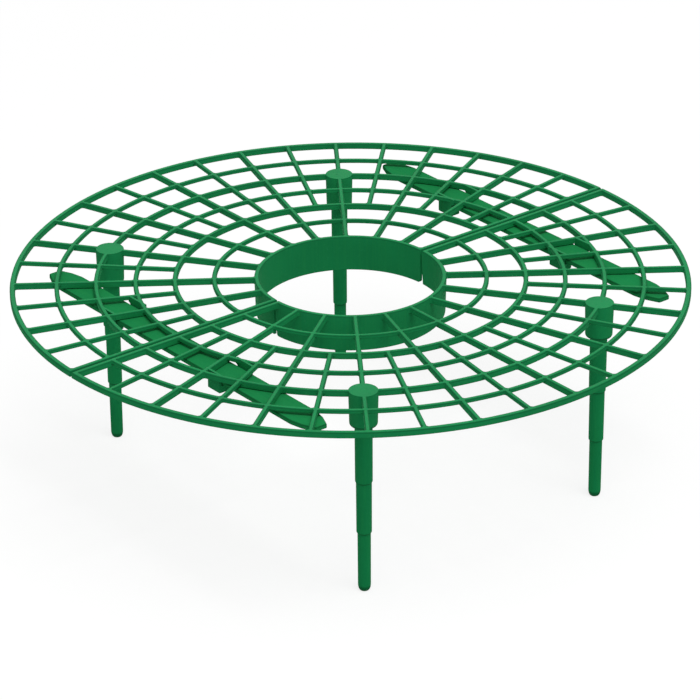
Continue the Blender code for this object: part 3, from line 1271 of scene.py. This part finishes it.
@dataclass(frozen=True)
class LockingBar:
    """A flat bar with narrowed ends that slides through the keepers of both halves."""

    width: float
    thickness: float
    bottom: float
    length: float = 0.191548
    tip_length: float = 0.0120
    tip_width: float = 0.0058
    cheek_width: float = 0.0111
    shift: float = 0.0045
    corner_radius: float = 0.0006
    corner_steps: int = 4
    top_bevel: float = 0.0006
    top_steps: int = 3
    bottom_bevel: float = 0.0002
    bottom_steps: int = 2
    smooth_to: float = math.radians(40)

    def outline(self) -> list[Pair]:
        """The bar's outline, seen from above.

        Returns:
            Its corners in order.
        """
        half = self.length / 2
        end = (
            (self.width / 2, half - self.tip_length),
            (self.cheek_width / 2, half - self.tip_length / 2),
            (self.tip_width / 2, half),
        )
        points = list(end) + [(-x, y) for x, y in reversed(end)]
        return points + [(-x, -y) for x, y in points]

    def piece(self, name: str, x: float) -> bpy.types.Object:
        """Build one bar and dress it.

        Args:
            name: Name of the piece.
            x: Where its middle line lies.

        Returns:
            The piece.
        """

        def is_upright(edge: bmesh.types.BMEdge) -> bool:
            """Whether an edge runs from the underside to the top."""
            return abs(edge.verts[0].co.z - edge.verts[1].co.z) > self.thickness / 2

        outline = [Vector((px + x, py - self.shift, self.bottom)) for px, py in self.outline()]
        mesh = extruded(outline, Vector((0, 0, self.thickness)))
        round_where(mesh, is_upright, self.corner_radius, self.corner_steps)
        round_level(mesh, self.bottom + self.thickness, self.top_bevel, self.top_steps)
        round_level(mesh, self.bottom, self.bottom_bevel, self.bottom_steps)
        return Finish.BAR.piece(mesh, name, self.smooth_to)


# The studio


@dataclass(frozen=True)
class Studio:
    """Pale floor, soft light and the camera at the photograph's angle."""

    floor_radius: float = 7.0
    floor_sides: int = 96
    floor_seen: float = 0.24
    floor_glow: float = 0.79
    floor_bounce: float = 0.50
    sky_light: float = 0.46
    key_power: float = 80.0
    key_size: float = 1.9
    key_place: Triple = (-0.10, -1.20, 3.65)
    lens: float = 180.87
    sensor_width: float = 36.0
    near: float = 0.05
    far: float = 30.0
    camera_place: Triple = (-0.87637305, -1.09947578, 0.7545568)
    camera_target: Triple = (-0.00951814, -0.01125008, 0.06526865)
    camera_roll: float = math.radians(-0.427)

    def floor(self) -> None:
        """Build the floor, which shows white to the camera and keeps the object's shadow."""
        work = bmesh.new()
        bmesh.ops.create_circle(work, cap_ends=True, segments=self.floor_sides, radius=self.floor_radius)
        floor = object_from(mesh_from(work), "studio_floor")
        made = bpy.data.materials.new("studio_floor")
        bench = ShaderBench(made)
        glow = bench.emission("ShaderNodeEmission", self.floor_glow)
        shown = bench.node("ShaderNodeAddShader", inputs={0: bench.grey_paint(self.floor_seen), 1: glow})
        bounce = bench.grey_paint(self.floor_bounce)
        mixed = bench.node("ShaderNodeMixShader", inputs={0: bench.seen(), 1: bounce, 2: shown})
        bench.node("ShaderNodeOutputMaterial", inputs={"Surface": mixed})
        floor.data.materials.append(made)

    def sky(self) -> None:
        """Light the studio evenly, with a white backdrop for the camera."""
        world = bpy.data.worlds.new("studio")
        bench = ShaderBench(world)
        light = bench.emission("ShaderNodeBackground", self.sky_light)
        white = bench.emission("ShaderNodeBackground", 1.0)
        mixed = bench.node("ShaderNodeMixShader", inputs={0: bench.seen(), 1: light, 2: white})
        bench.node("ShaderNodeOutputWorld", inputs={"Surface": mixed})
        bpy.context.scene.world = world

    def key_light(self) -> None:
        """Hang one large soft lamp over the support, a little towards the camera."""
        lamp = bpy.data.lights.new("softbox", "AREA")
        lamp.shape = "SQUARE"
        lamp.size = self.key_size
        lamp.energy = self.key_power
        hung = object_from(lamp, "softbox")
        hung.location = self.key_place
        hung.rotation_euler = (-Vector(self.key_place)).to_track_quat("-Z", "Y").to_euler()

    def camera(self) -> None:
        """Set up the camera of the photograph."""
        lens = bpy.data.cameras.new("photo_camera")
        lens.sensor_fit = "HORIZONTAL"
        lens.sensor_width = self.sensor_width
        lens.lens = self.lens
        lens.clip_start = self.near
        lens.clip_end = self.far
        shot = object_from(lens, "photo_camera")
        aim = Vector(self.camera_target) - Vector(self.camera_place)
        turn = aim.to_track_quat("-Z", "Y").to_matrix() @ Euler((0.0, 0.0, self.camera_roll)).to_matrix()
        shot.matrix_world = Matrix.Translation(self.camera_place) @ turn.to_4x4()
        bpy.context.scene.camera = shot

    def build(self) -> None:
        """Set up the whole studio."""
        self.floor()
        self.sky()
        self.key_light()
        self.camera()
        bpy.context.scene.view_settings.view_transform = "Standard"


def report(piece: bpy.types.Object, body: str, node: str) -> None:
    """Fasten a piece to its body, name the node that it stands for, and log it.

    Args:
        piece: The piece.
        body: The body that it rides on.
        node: The node that it replaces.
    """
    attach(piece, body)
    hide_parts(node)
    LOG.info("%s: %d faces, for %s on %s", piece.name, len(piece.data.polygons), node, body)


def main() -> None:
    """Build every piece and the studio."""
    logging.basicConfig(level=logging.INFO, format="%(name)s: %(message)s")
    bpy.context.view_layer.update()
    layout, socket = GridLayout(), LegSocket()
    keeper = BarKeeper(layout)
    half = LatticeHalf(layout, socket, keeper)
    report(half.piece("back_lattice", 0.0), "back_half", "grid_half_back")
    report(half.piece("front_lattice", math.pi), "front_half", "grid_half_front")
    right, left = half.socket_places()
    legs = {
        "back_right": right,
        "back_left": left,
        "front_left": (-right[0], -right[1]),
        "front_right": (-left[0], -left[1]),
    }
    leg = Leg(
        length=layout.top - socket.roof - FIT_GAP,
        socket_mouth=layout.top - socket.height,
        upper_radius=socket.bore_radius - FIT_GAP,
    )
    for corner, place in legs.items():
        node = f"leg_{corner}"
        report(leg.piece(f"peg_{corner}", place), node, node)
    bar = LockingBar(keeper.bar_width, keeper.bar_thickness, keeper.bar_bottom)
    for side, name in ((1, "right"), (-1, "left")):
        flat_bar = bar.piece(f"flat_bar_{name}", side * keeper.aside)
        report(flat_bar, f"bar_{name}", f"locking_bar_{name}")
    Studio().build()


if __name__ == "__main__":
    main()
